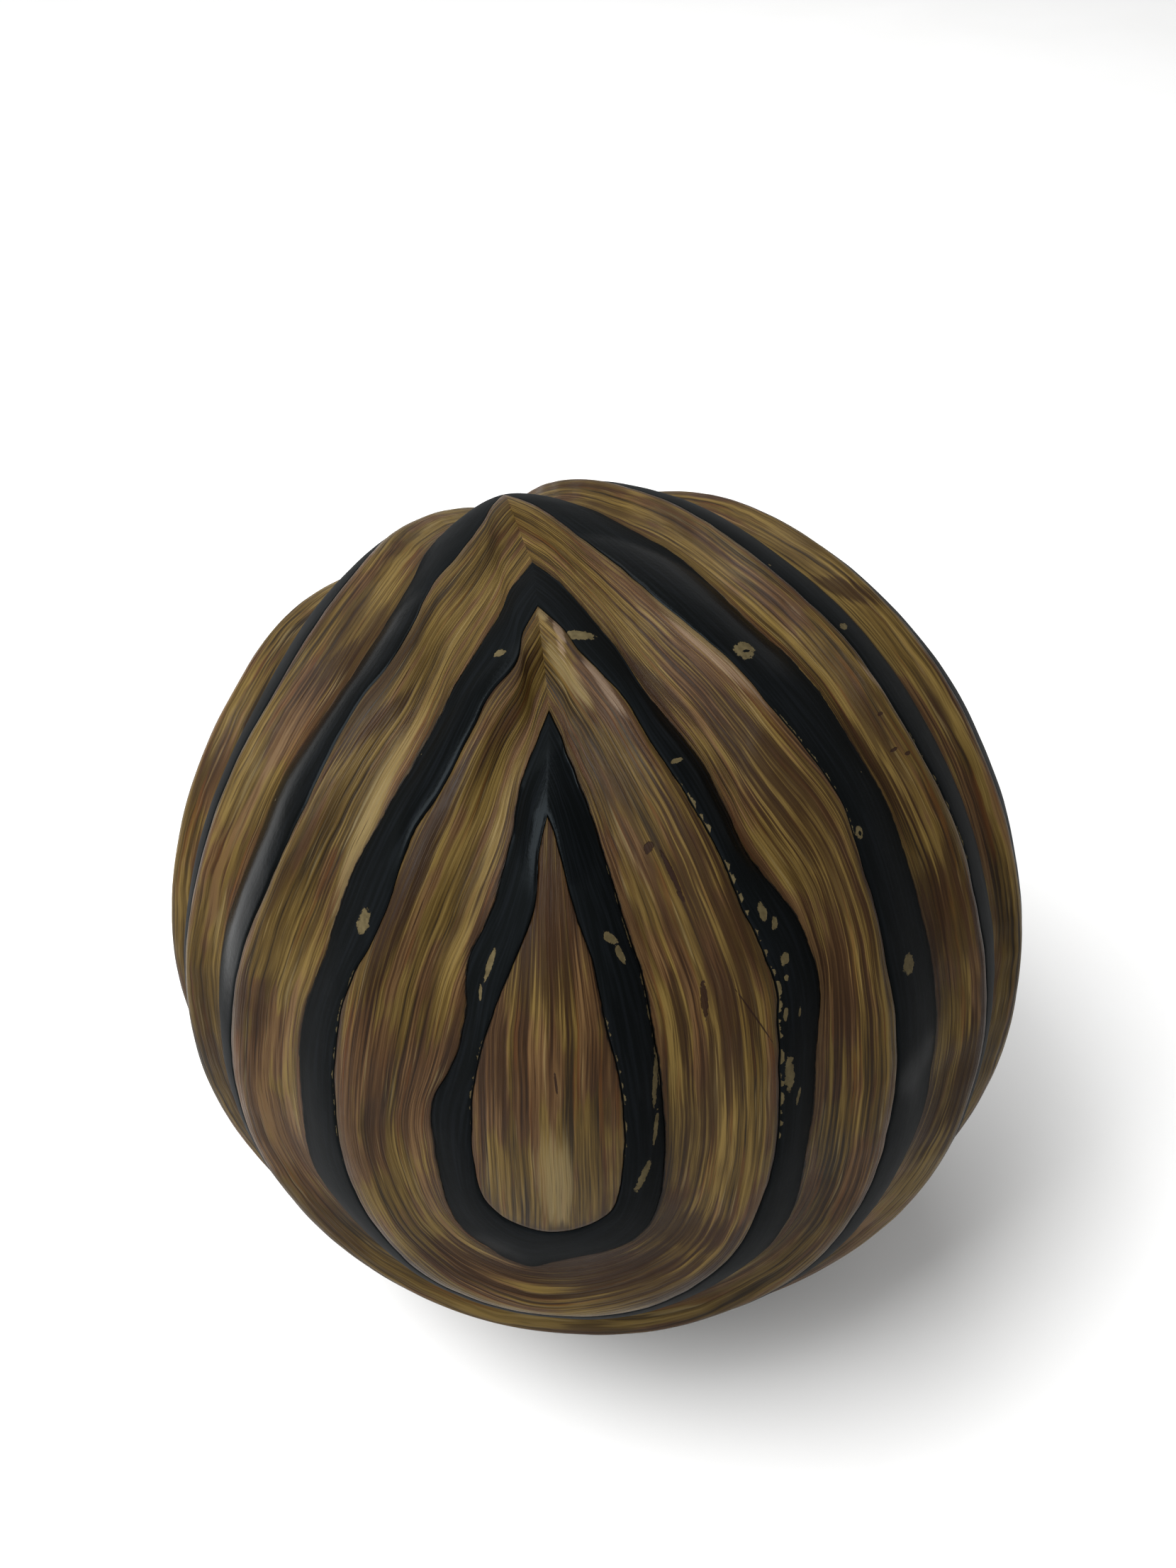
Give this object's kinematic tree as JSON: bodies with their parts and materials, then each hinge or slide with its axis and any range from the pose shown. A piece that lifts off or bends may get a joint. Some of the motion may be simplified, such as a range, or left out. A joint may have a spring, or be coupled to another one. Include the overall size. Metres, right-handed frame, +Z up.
{
  "type": "decorative ball",
  "caption": "Decorative table ball carved in nested teardrop waves, with faux-wood bands and satin black bands over a hollow core.",
  "frame": {"origin": "centre of the flat underside of the felt pad, which the ball stands on", "axes": "+Z up through the ball's centre; the front motif faces -Y and upwards, with +X to its right"},
  "size_m": [0.0988, 0.099, 0.0992],
  "materials": {
    "faux_wood": "cast resin hand-painted as wood: brushed ochre, olive and brown streaks under a semi-gloss varnish",
    "black_enamel": "satin black enamel over resin, with small chips and pinholes that show tan",
    "cast_resin": "bare cast polyresin, matte",
    "plug_resin": "cast resin plug, matte",
    "felt": "pressed black felt"
  },
  "bodies": {
    "root": {"front_drop": "faux_wood", "front_black_1": "black_enamel", "front_black_2": "black_enamel", "front_black_3": "black_enamel", "front_black_4": "black_enamel", "front_black_5": "black_enamel", "front_wood_1": "faux_wood", "front_wood_2": "faux_wood", "front_wood_3": "faux_wood", "front_wood_4": "faux_wood", "front_wood_5": "faux_wood", "seam_black": "black_enamel", "back_drop": "faux_wood", "back_black_1": "black_enamel", "back_wood_1": "faux_wood", "back_black_2": "black_enamel", "back_wood_2": "faux_wood", "core_upper_half": "cast_resin", "core_lower_half": "cast_resin", "base_plug": "plug_resin", "felt_pad": "felt"}
  },
  "joints": []
}
